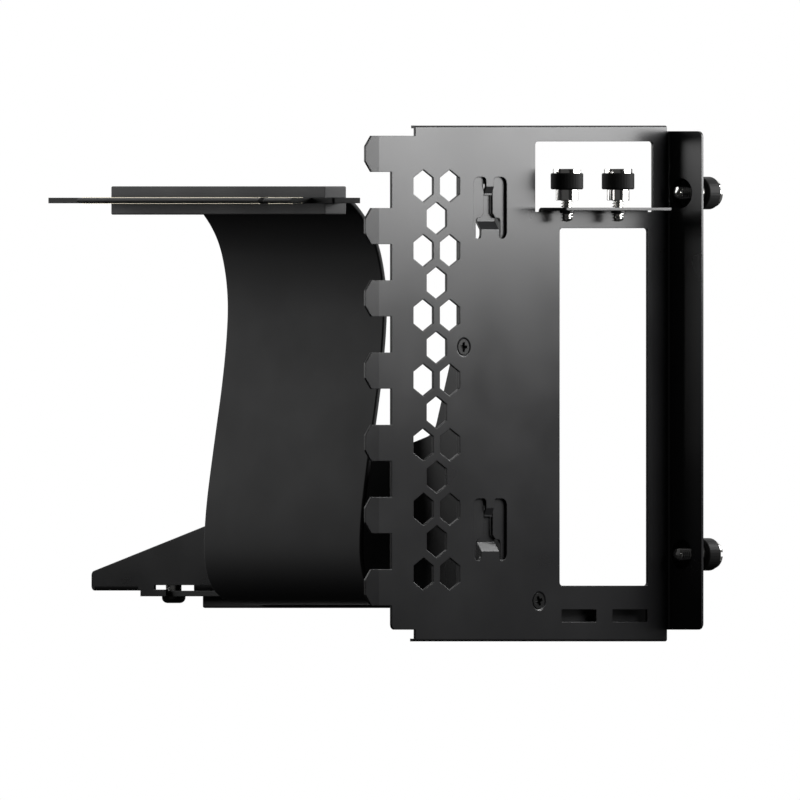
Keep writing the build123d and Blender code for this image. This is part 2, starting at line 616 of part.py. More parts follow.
def board_screws():
    """Pan head screws from below, into the standoffs."""
    screws = []
    for x in BOARD_SCREW_X:
        for y in BOARD_SCREW_Y:
            head = rod_z(BOARD_HEAD_R, 0, 0, -BOARD_HEAD_H, 0)
            head = fillet(head.edges().filter_by(GeomType.CIRCLE).sort_by(Axis.Z)[0], 1.1)
            screw = head + rod_z(BOARD_SCREW_R, 0, 0, 0, SHELF_TOP - BOARD_LOW)
            for size in ((CROSS_LEN, CROSS_W), (CROSS_W, CROSS_LEN)):
                screw -= Pos(0, 0, -BOARD_HEAD_H) * Box(size[0], size[1], 2 * CROSS_DEEP)
            screws.append(Pos(x, y, BOARD_LOW) * screw)
    return Compound(children=screws)


def board_standoffs():
    """Threaded standoffs pressed into the shelf, with the slot board under them."""
    standoffs = []
    for x in BOARD_SCREW_X:
        for y in BOARD_SCREW_Y:
            body = rod_z(STANDOFF_R, x, y, BOARD_TOP, SHELF_TOP + STANDOFF_RISE)
            standoffs.append(body - rod_z(BOARD_SCREW_R, x, y, 0, SHELF_TOP + STANDOFF_RISE + 1))
    return Compound(children=standoffs)


def slot_housing():
    """Card edge connector: a grooved body with a key, and ears for its latch."""
    body = block(HOUSING_X, HOUSING_Y, (BOARD_TOP, HOUSING_TOP))
    body = chamfer(edge_at(body, Axis.Y, X=HOUSING_X[0], Z=HOUSING_TOP), 0.5)
    body = chamfer(edge_at(body, Axis.Y, X=HOUSING_X[1], Z=HOUSING_TOP), 0.5)
    groove_z = (HOUSING_TOP - GROOVE_DEPTH, HOUSING_TOP + 1)
    groove_x = (CARD_X - GROOVE_HALF, CARD_X + GROOVE_HALF)
    key = (KEY_Y - EDGE_KEY_W / 2 + 0.15, KEY_Y + EDGE_KEY_W / 2 - 0.15)
    body -= block(groove_x, (EDGE_Y[0] - 0.3, key[0]), groove_z)
    body -= block(groove_x, (key[1], EDGE_Y[1] + 0.3), groove_z)
    ear_y = (HOUSING_Y[1] - 0.1, HOUSING_Y[1] + EAR_LEN)
    for x in (HOUSING_X[0], HOUSING_X[1] - EAR_T):
        ear = block((x, x + EAR_T), ear_y, (BOARD_TOP, BOARD_TOP + EAR_H))
        body += fillet(edge_at(ear, Axis.X, Y=ear_y[1], Z=BOARD_TOP + EAR_H), 2.0)
    return body - rod_x(LATCH_PIN_R + FIT, LATCH_Y, LATCH_Z, HOUSING_X[0] - 1, HOUSING_X[1] + 1)


def slot_contacts():
    low = HOUSING_TOP - GROOVE_DEPTH
    rows = ((CARD_X - GROOVE_HALF, CARD_X - GROOVE_HALF + CONTACT_T),
            (CARD_X + GROOVE_HALF - CONTACT_T, CARD_X + GROOVE_HALF))
    return Compound(children=[
        block(row, (y - CONTACT_W / 2, y + CONTACT_W / 2), (low, low + CONTACT_H))
        for y in edge_contacts_y() for row in rows])


def slot_latch():
    """Lever at the slot's inner end, on two stub pins, with a nose over the card."""
    x = (HOUSING_X[0] + EAR_T + LATCH_GAP, HOUSING_X[1] - EAR_T - LATCH_GAP)
    back = LATCH_Y + LATCH_T / 2
    front = LATCH_Y - LATCH_T / 2
    top = BOARD_TOP + LATCH_H
    lever = facing_side(
        ((front, LATCH_Z - 1.6), (back, LATCH_Z - 1.6), (back, top - 2.5), (back + 1.6, top),
         (front - LATCH_NOSE + 0.7, top), (front - LATCH_NOSE, top - 0.8), (front, top - 1.4)),
        x, (((back, LATCH_Z - 1.6), 0.9), ((front, LATCH_Z - 1.6), 0.9)))
    reach = EAR_T + LATCH_GAP - 0.1
    return lever + rod_x(LATCH_PIN_R, LATCH_Y, LATCH_Z, x[0] - reach, x[1] + reach)


def slot_cover():
    """Moulded cover under the slot board, over the flat cable's joints."""
    cover = block(COVER_X, EDGE_Y, (COVER_LOW, BOARD_LOW))
    cover = fillet(cover.faces().sort_by(Axis.Z)[0].edges(), COVER_R)
    seat_z = (CABLE_LOW - CABLE_T / 2 - 0.02, CABLE_LOW + CABLE_T / 2 + 0.02)
    return cover - block((COVER_X[0] - 1, COVER_X[0] + CABLE_SEAT),
                         (CABLE_Y[0] - 1, CABLE_Y[1] + 0.02), seat_z)


# Cable and plug

def bend_radii(points):
    """A radius for each corner of a route, as large as its two runs allow."""
    radii = []
    for before, at, after in zip(points, points[1:], points[2:]):
        arrive, leave = Vector(at) - Vector(before), Vector(after) - Vector(at)
        turn = math.radians(arrive.get_angle(leave))
        radii.append(CABLE_BEND_SHARE * min(arrive.length, leave.length) / math.tan(turn / 2))
    return radii


def flat_cable():
    """One wide flat cable: an even thickness laid along its middle line."""
    points = [(PLUG_COVER_X[1] - CABLE_SEAT, PLUG_Z), (PLUG_COVER_X[1] + CABLE_EXIT, PLUG_Z),
              *CABLE_PATH, (COVER_X[0] - CABLE_ENTRY, CABLE_LOW), (COVER_X[0] + CABLE_SEAT, CABLE_LOW)]
    middle = Plane.XZ * FilletPolyline(*points, radius=bend_radii(points))
    width = CABLE_Y[1] - CABLE_Y[0]
    section = Plane(middle @ 0, x_dir=(0, 1, 0), z_dir=middle % 0) * Rectangle(width, CABLE_T)
    cable = sweep(section, path=middle)
    return Pos(0, (CABLE_Y[0] + CABLE_Y[1]) / 2, 0) * cable


def plug_board():
    """Board with a bevelled and keyed x16 edge on its tongue."""
    z = (PLUG_BOARD_LOW, PLUG_BOARD_TOP)
    root = PLUG_EDGE_X + PLUG_TONGUE
    board = block((root, PLUG_BOARD_END), PLUG_BOARD_Y, z)
    board = fillet(board.edges().filter_by(Axis.Z), 0.6)
    tongue = block((PLUG_EDGE_X, root + 1), EDGE_Y, z)
    for edge_z in z:
        edge = edge_at(tongue, Axis.Y, X=PLUG_EDGE_X, Z=edge_z)
        tongue = chamfer(edge, PLUG_BEVEL, PLUG_BEVEL_DROP,
                         reference=tongue.faces().sort_by(Axis.Z)[-1 if edge_z == z[1] else 0])
    key = (KEY_Y - EDGE_KEY_W / 2, KEY_Y + EDGE_KEY_W / 2)
    return board + tongue - block((PLUG_EDGE_X - 1, root - 0.6), key, (z[0] - 1, z[1] + 1))


def plug_pads():
    x = (PLUG_EDGE_X + PAD_GAP, PLUG_EDGE_X + PAD_GAP + PAD_LEN)
    sides = ((PLUG_BOARD_TOP, PLUG_BOARD_TOP + PAD_T), (PLUG_BOARD_LOW - PAD_T, PLUG_BOARD_LOW))
    return Compound(children=[
        block(x, (y - PAD_W / 2, y + PAD_W / 2), side)
        for y in edge_contacts_y() for side in sides])


def plug_cover(z, outer):
    """Half of the moulded clamp over the cable's joints on the plug's board."""
    cover = block(PLUG_COVER_X, EDGE_Y, z)
    return fillet(cover.faces().sort_by(Axis.Z)[outer].edges(), COVER_EDGE_R)


# Assembly

nodes = {
    "rear_plate": rear_plate(),
    "riser_bracket": riser_bracket(),
    "riser_screw_upper": countersunk_screw(*CSK_POS[0]),
    "riser_screw_lower": countersunk_screw(*CSK_POS[1]),
    "slot_board": slot_board(),
    "board_screws": board_screws(),
    "board_standoffs": board_standoffs(),
    "slot_housing": slot_housing(),
    "slot_contacts": slot_contacts(),
    "slot_latch": slot_latch(),
    "slot_cover": slot_cover(),
    "flat_cable": flat_cable(),
    "plug_board": plug_board(),
    "plug_pads": plug_pads(),
    "plug_cover_upper": plug_cover((PLUG_BOARD_TOP, PLUG_Z + PLUG_COVER_H / 2), -1),
    "plug_cover_lower": plug_cover((PLUG_Z - PLUG_COVER_H / 2, PLUG_BOARD_LOW), 0),
}

metal, sleeve = thumbscrew()
for name, x in zip(("left", "right"), LEDGE_SCREWS):
    place = Pos(x, LEDGE_SCREW_Y, LEDGE_TOP + LEDGE_SCREW_RISE - THREAD_LEN)
    nodes[f"card_screw_{name}"] = place * metal
    nodes[f"card_screw_{name}_grip"] = place * sleeve
for name, z, turned in zip(("lower", "upper"), CASE_HOLES, CASE_SCREW_TURNS):
    outer_face = PLATE_W + SHEET
    seat = Pos(outer_face + CASE_SCREW_OUT - THREAD_LEN, FLANGE_HOLE_Y, z)
    place = seat * Rot(0, 90, 0) * Rot(0, 0, turned)
    nodes[f"case_screw_{name}"] = place * metal
    nodes[f"case_screw_{name}_grip"] = place * sleeve
    mouth = Pos(outer_face, FLANGE_HOLE_Y, z) * Rot(0, 90, 0)
    nodes[f"captive_retainer_{name}"] = mouth * captive_retainer()

for name, node in nodes.items():
    export_step(ORIGIN * node, f"parts/{name}.step")
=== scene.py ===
import math

import bmesh
import bpy
from mathutils import Matrix, Vector


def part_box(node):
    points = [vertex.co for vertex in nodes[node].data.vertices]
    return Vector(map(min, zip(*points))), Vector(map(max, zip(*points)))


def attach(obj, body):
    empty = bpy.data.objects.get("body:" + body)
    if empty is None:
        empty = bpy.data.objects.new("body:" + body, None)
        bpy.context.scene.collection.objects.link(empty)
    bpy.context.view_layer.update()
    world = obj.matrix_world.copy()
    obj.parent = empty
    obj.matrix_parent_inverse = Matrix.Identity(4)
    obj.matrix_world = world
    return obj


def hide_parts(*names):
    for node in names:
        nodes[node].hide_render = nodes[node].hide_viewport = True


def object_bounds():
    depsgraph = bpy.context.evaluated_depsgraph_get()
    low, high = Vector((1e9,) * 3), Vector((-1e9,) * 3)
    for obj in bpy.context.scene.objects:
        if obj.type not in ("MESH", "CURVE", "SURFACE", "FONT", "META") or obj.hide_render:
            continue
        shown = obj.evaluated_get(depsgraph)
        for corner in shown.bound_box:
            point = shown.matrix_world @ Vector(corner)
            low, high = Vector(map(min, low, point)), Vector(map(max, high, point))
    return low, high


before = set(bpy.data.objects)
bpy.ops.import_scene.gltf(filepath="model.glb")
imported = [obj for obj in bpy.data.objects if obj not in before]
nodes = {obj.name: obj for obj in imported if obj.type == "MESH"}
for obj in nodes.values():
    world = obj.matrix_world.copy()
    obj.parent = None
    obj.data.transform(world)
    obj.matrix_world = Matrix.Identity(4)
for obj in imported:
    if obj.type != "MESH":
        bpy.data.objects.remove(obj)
cad_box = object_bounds()
MM = 0.001


# Rear plate and riser bracket: two folded sheets of 0.8 mm steel, punched, bent and then
# powder coated satin black. The riser hangs on two hooks of the plate and is held by two
# countersunk screws. The coat has a very fine orange peel and rounds each cut edge.

COAT_EDGE = 0.28 * MM
PATCHES = 45
TONE_SWING = 0.14
GLOSS_SWING = 0.03


def black_finish(name, colour, roughness, peel, peel_height, edge=COAT_EDGE, gleam=0.5):
    """A black surface with fine peel, a little uneven in tone and gloss, and soft edges."""
    material = bpy.data.materials.new(name)
    material.use_nodes = True
    tree = material.node_tree
    shader = tree.nodes["Principled BSDF"]
    shader.inputs["Specular IOR Level"].default_value = gleam
    place = tree.nodes.new("ShaderNodeTexCoord")

    drift = tree.nodes.new("ShaderNodeTexNoise")
    drift.inputs["Scale"].default_value = PATCHES
    drift.inputs["Detail"].default_value = 3
    tree.links.new(place.outputs["Object"], drift.inputs["Vector"])
    tone = tree.nodes.new("ShaderNodeMix")
    tone.data_type = "RGBA"
    tone.inputs["A"].default_value = (*((1 - TONE_SWING) * part for part in colour), 1)
    tone.inputs["B"].default_value = (*((1 + TONE_SWING) * part for part in colour), 1)
    tree.links.new(drift.outputs["Fac"], tone.inputs["Factor"])
    tree.links.new(tone.outputs["Result"], shader.inputs["Base Color"])

    gloss = tree.nodes.new("ShaderNodeMapRange")
    gloss.inputs["From Min"].default_value = 0.3
    gloss.inputs["From Max"].default_value = 0.7
    gloss.inputs["To Min"].default_value = roughness - GLOSS_SWING
    gloss.inputs["To Max"].default_value = roughness + GLOSS_SWING
    tree.links.new(drift.outputs["Fac"], gloss.inputs["Value"])
    tree.links.new(gloss.outputs["Result"], shader.inputs["Roughness"])

    grain = tree.nodes.new("ShaderNodeTexNoise")
    grain.inputs["Scale"].default_value = peel
    grain.inputs["Detail"].default_value = 2
    tree.links.new(place.outputs["Object"], grain.inputs["Vector"])
    rise = tree.nodes.new("ShaderNodeBump")
    rise.inputs["Strength"].default_value = 1
    rise.inputs["Distance"].default_value = peel_height
    tree.links.new(grain.outputs["Fac"], rise.inputs["Height"])
    if edge:
        soft = tree.nodes.new("ShaderNodeBevel")
        soft.samples = 4
        soft.inputs["Radius"].default_value = edge
        tree.links.new(soft.outputs["Normal"], rise.inputs["Normal"])
    tree.links.new(rise.outputs["Normal"], shader.inputs["Normal"])
    return material


def dress(material, *names):
    """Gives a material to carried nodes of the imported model."""
    for name in names:
        mesh = nodes[name].data
        mesh.materials.clear()
        mesh.materials.append(material)


powder_coat = black_finish("powder_coat", (0.016, 0.016, 0.017), 0.3, 1400, 0.004 * MM)
dress(powder_coat, "rear_plate", "riser_bracket")


# Riser screws: two flat head steel screws with a cross recess, blackened by oxide. They
# lie in the plate's countersinks with a narrow ring of them left open, and go through the
# riser's drawn collars. The lower one has been turned a little further.

FLAT_HEAD_R = 2.28 * MM
FLAT_HEAD_SINK = 0.06 * MM
FLAT_HEAD_H = 0.7 * MM
RISER_SCREW_R = 1.5 * MM
RISER_SCREW_LEN = 2.8 * MM
HEAD_RIM = 0.12 * MM
CROSS_REACH = 1.4 * MM
CROSS_TIP = 0.42 * MM
CROSS_ROOT = 0.52 * MM
CROSS_DEEP = 1.1 * MM
CROSS_FLOOR = 0.75
TURNED_STEPS = 64
SAME_POINT = 0.001 * MM
SHARP_ANGLE = math.radians(32)


def turn(piece, profile):
    """Turns a half outline, given as radius and height, once round the Z axis."""
    line = [piece.verts.new((radius, 0, height)) for radius, height in profile]
    edges = [piece.edges.new(pair) for pair in zip(line, line[1:])]
    bmesh.ops.spin(piece, geom=line + edges, cent=(0, 0, 0), axis=(0, 0, 1),
                   angle=2 * math.pi, steps=TURNED_STEPS, use_merge=True)
    bmesh.ops.remove_doubles(piece, verts=piece.verts, dist=SAME_POINT)


def as_mesh(shell, name):
    """A mesh of one closed shell, with its faces pointed outward."""
    bmesh.ops.recalc_face_normals(shell, faces=shell.faces)
    if shell.calc_volume(signed=True) < 0:
        bmesh.ops.reverse_faces(shell, faces=shell.faces)
    mesh = bpy.data.meshes.new(name)
    shell.to_mesh(mesh)
    shell.free()
    return mesh


def cross_screw(profile):
    """A turned screw. A cross recess fills the head's face at the profile's first point."""
    screw = bmesh.new()
    turn(screw, profile)
    rim = [e for e in screw.edges if e.is_boundary]
    mouth = []
    for quarter in range(4):
        round_by = Matrix.Rotation(quarter * math.pi / 2, 3, "Z")
        for x, y in ((CROSS_REACH, -CROSS_TIP), (CROSS_REACH, CROSS_TIP), (CROSS_ROOT, CROSS_ROOT)):
            mouth.append(screw.verts.new(round_by @ Vector((x, y, profile[0][1]))))
    lips = [screw.edges.new(pair) for pair in zip(mouth, mouth[1:] + mouth[:1])]
    bmesh.ops.bridge_loops(screw, edges=rim + lips)
    walls = bmesh.ops.extrude_edge_only(screw, edges=lips)["geom"]
    floor_corners = [v for v in walls if isinstance(v, bmesh.types.BMVert)]
    bmesh.ops.translate(screw, verts=floor_corners, vec=(0, 0, -CROSS_DEEP))
    bmesh.ops.scale(screw, verts=floor_corners, vec=(CROSS_FLOOR, CROSS_FLOOR, 1))
    bmesh.ops.contextual_create(screw, geom=[e for e in walls if isinstance(e, bmesh.types.BMEdge)
                                             and e.is_boundary])
    return as_mesh(screw, "cross_screw")


def stand_in(name, mesh, material, body, slot, *replaced):
    """A finished piece, smooth but for its edges, which stands for carried nodes."""
    mesh.materials.clear()
    mesh.materials.append(material)
    for face in mesh.polygons:
        face.use_smooth = True
    mesh.set_sharp_from_angle(angle=SHARP_ANGLE)
    piece = bpy.data.objects.new(name, mesh)
    bpy.context.scene.collection.objects.link(piece)
    piece.modifiers.new("even_light", "WEIGHTED_NORMAL").keep_sharp = True
    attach(piece, body)
    if replaced:
        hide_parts(*replaced)
    return piece


black_oxide = black_finish("black_oxide", (0.012, 0.012, 0.012), 0.28, 2600, 0.002 * MM, edge=0)
for name, turned in (("riser_screw_upper", 0), ("riser_screw_lower", 18)):
    low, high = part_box(name)
    screw = cross_screw((
        (FLAT_HEAD_R - HEAD_RIM, -FLAT_HEAD_SINK),
        (FLAT_HEAD_R, -FLAT_HEAD_SINK - HEAD_RIM),
        (RISER_SCREW_R, -FLAT_HEAD_SINK - FLAT_HEAD_H),
        (RISER_SCREW_R, -FLAT_HEAD_SINK - RISER_SCREW_LEN),
        (0, -FLAT_HEAD_SINK - RISER_SCREW_LEN),
    ))
    face = Vector(((low.x + high.x) / 2, low.y, (low.z + high.z) / 2))
    screw.transform(Matrix.Translation(face) @ Matrix.Rotation(math.pi / 2, 4, "X")
                    @ Matrix.Rotation(math.radians(turned), 4, "Z"))
    stand_in(name + "_turned", screw, black_oxide, "bracket", "black_screw", name)


# Ledge bosses: below each of the two card screw holes the ledge's sheet is drawn down
# into a short boss, which gives the thread its length.

BOSS_R = 2.05 * MM
BOSS_LEN = 0.8 * MM
BOSS_BORE_R = 1.8 * MM
BOSS_SOFT = 0.15 * MM
PLATE_TO_FRAME = Vector((-110.1, 5.0, -75.3)) * MM
LEDGE_UNDERSIDE = 121.2 * MM

for side in ("left", "right"):
    low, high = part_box("card_screw_" + side)
    boss = bmesh.new()
    turn(boss, ((BOSS_BORE_R, BOSS_SOFT), (BOSS_R, BOSS_SOFT), (BOSS_R, BOSS_SOFT - BOSS_LEN),
                (BOSS_R - BOSS_SOFT, -BOSS_LEN), (BOSS_BORE_R, -BOSS_LEN), (BOSS_BORE_R, BOSS_SOFT)))
    drawn = as_mesh(boss, "ledge_boss")
    drawn.transform(Matrix.Translation(((low.x + high.x) / 2, (low.y + high.y) / 2,
                                        LEDGE_UNDERSIDE + PLATE_TO_FRAME.z)))
    stand_in("ledge_boss_" + side, drawn, powder_coat, "bracket", "black_sheet")


# Slot board: a printed circuit board with a matt black mask, hung under the riser's shelf
# from four threaded standoffs of plated steel.

solder_mask = black_finish("solder_mask", (0.014, 0.015, 0.015), 0.38, 700, 0.003 * MM)
dress(solder_mask, "slot_board")


def bright_metal(name, colour, roughness, grain, grain_height):
    """Plated metal with faint marks of its making."""
    material = bpy.data.materials.new(name)
    material.use_nodes = True
    tree = material.node_tree
    shader = tree.nodes["Principled BSDF"]
    shader.inputs["Metallic"].default_value = 1
    shader.inputs["Base Color"].default_value = (*colour, 1)
    place = tree.nodes.new("ShaderNodeTexCoord")
    marks = tree.nodes.new("ShaderNodeTexNoise")
    marks.inputs["Scale"].default_value = grain
    marks.inputs["Detail"].default_value = 3
    tree.links.new(place.outputs["Object"], marks.inputs["Vector"])
    gloss = tree.nodes.new("ShaderNodeMapRange")
    gloss.inputs["To Min"].default_value = 0.7 * roughness
    gloss.inputs["To Max"].default_value = 1.3 * roughness
    tree.links.new(marks.outputs["Fac"], gloss.inputs["Value"])
    tree.links.new(gloss.outputs["Result"], shader.inputs["Roughness"])
    rise = tree.nodes.new("ShaderNodeBump")
    rise.inputs["Strength"].default_value = 1
    rise.inputs["Distance"].default_value = grain_height
    tree.links.new(marks.outputs["Fac"], rise.inputs["Height"])
    tree.links.new(rise.outputs["Normal"], shader.inputs["Normal"])
    return material


dress(bright_metal("plated_steel", (0.62, 0.62, 0.6), 0.28, 900, 0.003 * MM), "board_standoffs")


# Board screws: four pan head screws with a cross recess, driven up through the slot board
# into its standoffs.

PAN_HEAD_R = 3.35 * MM
PAN_HEAD_H = 1.9 * MM
PAN_FLAT_R = 1.7 * MM
PAN_SIDE_H = 0.35 * MM
PAN_STEPS = 6
CAD_HEAD_R = 3.1 * MM
BOARD_SCREW_R = 1.45 * MM

low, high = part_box("board_screws")
dome = []
for step in range(PAN_STEPS + 1):
    slope = step / PAN_STEPS * math.pi / 2
    dome.append((PAN_FLAT_R + (PAN_HEAD_R - PAN_FLAT_R) * math.sin(slope),
                 -(PAN_HEAD_H - PAN_SIDE_H) * (1 - math.cos(slope))))
pan_heads = bmesh.new()
for x in (low.x + CAD_HEAD_R, high.x - CAD_HEAD_R):
    for y in (low.y + CAD_HEAD_R, high.y - CAD_HEAD_R):
        screw = cross_screw((*dome, (PAN_HEAD_R, -PAN_HEAD_H), (BOARD_SCREW_R, -PAN_HEAD_H),
                             (BOARD_SCREW_R, low.z - high.z), (0, low.z - high.z)))
        screw.transform(Matrix.Translation((x, y, low.z)) @ Matrix.Rotation(math.pi, 4, "X"))
        pan_heads.from_mesh(screw)
screws = bpy.data.meshes.new("pan_head_screws")
pan_heads.to_mesh(screws)
pan_heads.free()
stand_in("board_screws_turned", screws, black_oxide, "bracket", "black_screw", "board_screws")


# Slot: a moulded x16 card edge connector with gold plated spring contacts and a swinging
# latch at its inner end. A moulded cover closes over the cable's joints under the board.

moulded_plastic = black_finish("moulded_plastic", (0.013, 0.013, 0.014), 0.5, 1900, 0.006 * MM)
dress(moulded_plastic, "slot_housing", "slot_latch")
moulded_cover = black_finish("moulded_cover", (0.024, 0.024, 0.025), 0.5, 1200, 0.006 * MM)
dress(moulded_cover, "slot_cover", "plug_cover_upper", "plug_cover_lower")
plug_mask = black_finish("plug_mask", (0.012, 0.012, 0.012), 0.42, 700, 0.003 * MM, gleam=0.2)
dress(plug_mask, "plug_board")
gold_plate = bright_metal("gold_plate", (0.86, 0.62, 0.27), 0.22, 1500, 0.001 * MM)
dress(gold_plate, "slot_contacts")
dress(bright_metal("worn_gold", (0.72, 0.66, 0.52), 0.3, 1500, 0.001 * MM), "plug_pads")


# Flat cable: many thin conductors side by side in one black wrap, 62.4 mm wide. It leaves
# the plug's cover level, bows out, and turns under the riser into the slot board's cover.

CABLE_WIDTH = 62.4 * MM
CABLE_THICK = 1.57 * MM
CABLE_EDGE = 0.55 * MM
CABLE_ROUTE = (
    (26.0, 124.0), (28.7, 124.0), (30.6, 124.0), (34.4, 120.9), (38.5, 116.4),
    (41.4, 111.4), (43.1, 106.0), (44.2, 100.3), (44.65, 94.0), (44.25, 87.0),
    (43.35, 79.0), (41.8, 69.3), (39.85, 59.4), (37.9, 49.1), (36.35, 40.5),
    (35.4, 32.8), (35.1, 25.7), (35.7, 20.6), (37.3, 16.6), (40.4, 13.4),
    (44.8, 11.6), (50.0, 11.06), (56.0, 11.06), (59.5, 11.06),
)


def cable_wrap():
    """The wrap: a flat section with rounded edges, carried along the cable's route."""
    middle = (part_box("flat_cable")[0].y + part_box("flat_cable")[1].y) / 2
    outline = bmesh.new()
    bmesh.ops.create_grid(outline, x_segments=10, y_segments=1, size=0.5)
    bmesh.ops.scale(outline, vec=(CABLE_WIDTH, CABLE_THICK, 1), verts=outline.verts)
    corners = [v for v in outline.verts if len(v.link_edges) == 2]
    bmesh.ops.bevel(outline, geom=corners, offset=CABLE_EDGE, offset_type="OFFSET", segments=4,
                    profile=0.5, affect="VERTICES", material=-1)
    sections = bpy.data.curves.new("cable_section", "CURVE")
    sections.dimensions = "2D"
    rim = [e for e in outline.edges if e.is_boundary]
    start = rim[0].verts[0]
    ring, at, last = [start], rim[0].other_vert(start), start
    while at is not start:
        ring.append(at)
        step = next(e for e in at.link_edges if e.is_boundary and e.other_vert(at) is not last)
        last, at = at, step.other_vert(at)
    line = sections.splines.new("POLY")
    line.points.add(len(ring) - 1)
    for point, corner in zip(line.points, ring):
        point.co = (corner.co.x, corner.co.y, 0, 1)
    line.use_cyclic_u = True
    section = bpy.data.objects.new("cable_section", sections)
    outline.free()

    route = bpy.data.curves.new("cable_route", "CURVE")
    route.dimensions = "3D"
    path = route.splines.new("NURBS")
    path.points.add(len(CABLE_ROUTE) - 1)
    for point, (x, z) in zip(path.points, CABLE_ROUTE):
        place = Vector((x, 0, z)) * MM + PLATE_TO_FRAME
        point.co = (place.x, middle, place.z, 1)
    path.order_u = 3
    path.use_endpoint_u = True
    path.resolution_u = 8
    route.bevel_mode = "OBJECT"
    route.bevel_object = section
    route.use_fill_caps = True
    carrier = bpy.data.objects.new("cable_carrier", route)
    bpy.context.scene.collection.objects.link(section)
    bpy.context.scene.collection.objects.link(carrier)
    bpy.context.view_layer.update()
    wrap = bmesh.new()
    wrap.from_mesh(bpy.data.meshes.new_from_object(carrier.evaluated_get(
        bpy.context.evaluated_depsgraph_get())))
    bmesh.ops.remove_doubles(wrap, verts=wrap.verts, dist=SAME_POINT)
    bpy.data.objects.remove(carrier)
    bpy.data.objects.remove(section)
    return as_mesh(wrap, "cable_wrap")


cable_skin = black_finish("cable_skin", (0.013, 0.013, 0.014), 0.66, 2200, 0.005 * MM, edge=0)
stand_in("flat_cable_wrap", cable_wrap(), cable_skin, "bracket", "cable", "flat_cable")


# Thumbscrews: four turned steel screws, nickel plated, each with a collar, a slotted cap
# and a knurled black grip pressed on between them. Two hold the card and two the bracket.

THREAD_R = 1.75 * MM
THREAD_LEN = 6.0 * MM
THREAD_PITCH = 0.8 * MM
THREAD_DEPTH = 0.55 * MM
THREAD_LEAD = 0.45 * MM
THREAD_HIDDEN = 0.2 * MM
TIP_LEN = 0.35 * MM
TIP_SHARE = 0.15
COLLAR_R = 3.2 * MM
COLLAR_LEN = 3.1 * MM
COLLAR_SOFT = 0.12 * MM
CORE_R = 2.9 * MM
CORE_INTO_CAP = 0.1 * MM
GRIP_R = 4.6 * MM
GRIP_LEN = 4.6 * MM
GRIP_ROUND = 0.45 * MM
GRIP_ROUND_STEPS = 4
GRIP_RIBS = 34
LINES_PER_RIB = 4
GRIP_RIB_DEPTH = 0.03 * MM
CAP_R = 4.05 * MM
CAP_LEN = 1.2 * MM
CAP_STEPS = 72
CAP_SOFT = 0.2 * MM
DRIVER_SLOT_W = 1.2 * MM
DRIVER_SLOT_DEEP = 1.0 * MM
TURN_STEPS = 24


def cut_thread(rod):
    """Winds one turn's profile up the axis, cuts it flat above and points it below."""
    root = THREAD_R - THREAD_DEPTH
    turns = math.ceil(THREAD_LEN / THREAD_PITCH) + 3
    profile = ((root, 0), (root, 0.16), (THREAD_R, 0.5), (THREAD_R, 0.6), (root, 0.94), (root, 1))
    line = [rod.verts.new((r, 0, (share - 1.5) * THREAD_PITCH)) for r, share in profile]
    edges = [rod.edges.new(pair) for pair in zip(line, line[1:])]
    bmesh.ops.spin(rod, geom=line + edges, cent=(0, 0, 0), axis=(0, 0, 1),
                   dvec=(0, 0, THREAD_PITCH / TURN_STEPS), angle=2 * math.pi * turns,
                   steps=TURN_STEPS * turns)
    bmesh.ops.remove_doubles(rod, verts=rod.verts, dist=2 * SAME_POINT)
    for height, normal in ((TIP_LEN, -1), (THREAD_LEN + THREAD_HIDDEN, 1)):
        cut = bmesh.ops.bisect_plane(rod, geom=rod.verts[:] + rod.edges[:] + rod.faces[:],
                                     plane_co=(0, 0, height), plane_no=(0, 0, normal),
                                     clear_outer=True)
        rim = [e for e in cut["geom_cut"] if isinstance(e, bmesh.types.BMEdge)]
        end = bmesh.ops.contextual_create(rod, geom=rim)["faces"]
        if normal < 0:
            point = bmesh.ops.extrude_discrete_faces(rod, faces=end)["faces"][0].verts[:]
            bmesh.ops.translate(rod, verts=point, vec=(0, 0, -TIP_LEN))
            bmesh.ops.scale(rod, verts=point, vec=(TIP_SHARE, TIP_SHARE, 1))
    for v in rod.verts:
        most = root + v.co.z - TIP_LEN
        reach = math.hypot(v.co.x, v.co.y)
        if TIP_LEN <= v.co.z < TIP_LEN + THREAD_LEAD and reach > most:
            v.co.x *= most / reach
            v.co.y *= most / reach


def turn_collar(rod):
    """The plain collar over the thread, and the core that carries the grip."""
    top = THREAD_LEN + COLLAR_LEN
    core_top = top + GRIP_LEN + CORE_INTO_CAP
    turn(rod, ((0, THREAD_LEN), (COLLAR_R - COLLAR_SOFT, THREAD_LEN),
               (COLLAR_R, THREAD_LEN + COLLAR_SOFT), (COLLAR_R, top - COLLAR_SOFT),
               (COLLAR_R - COLLAR_SOFT, top), (CORE_R, top), (CORE_R, core_top), (0, core_top)))


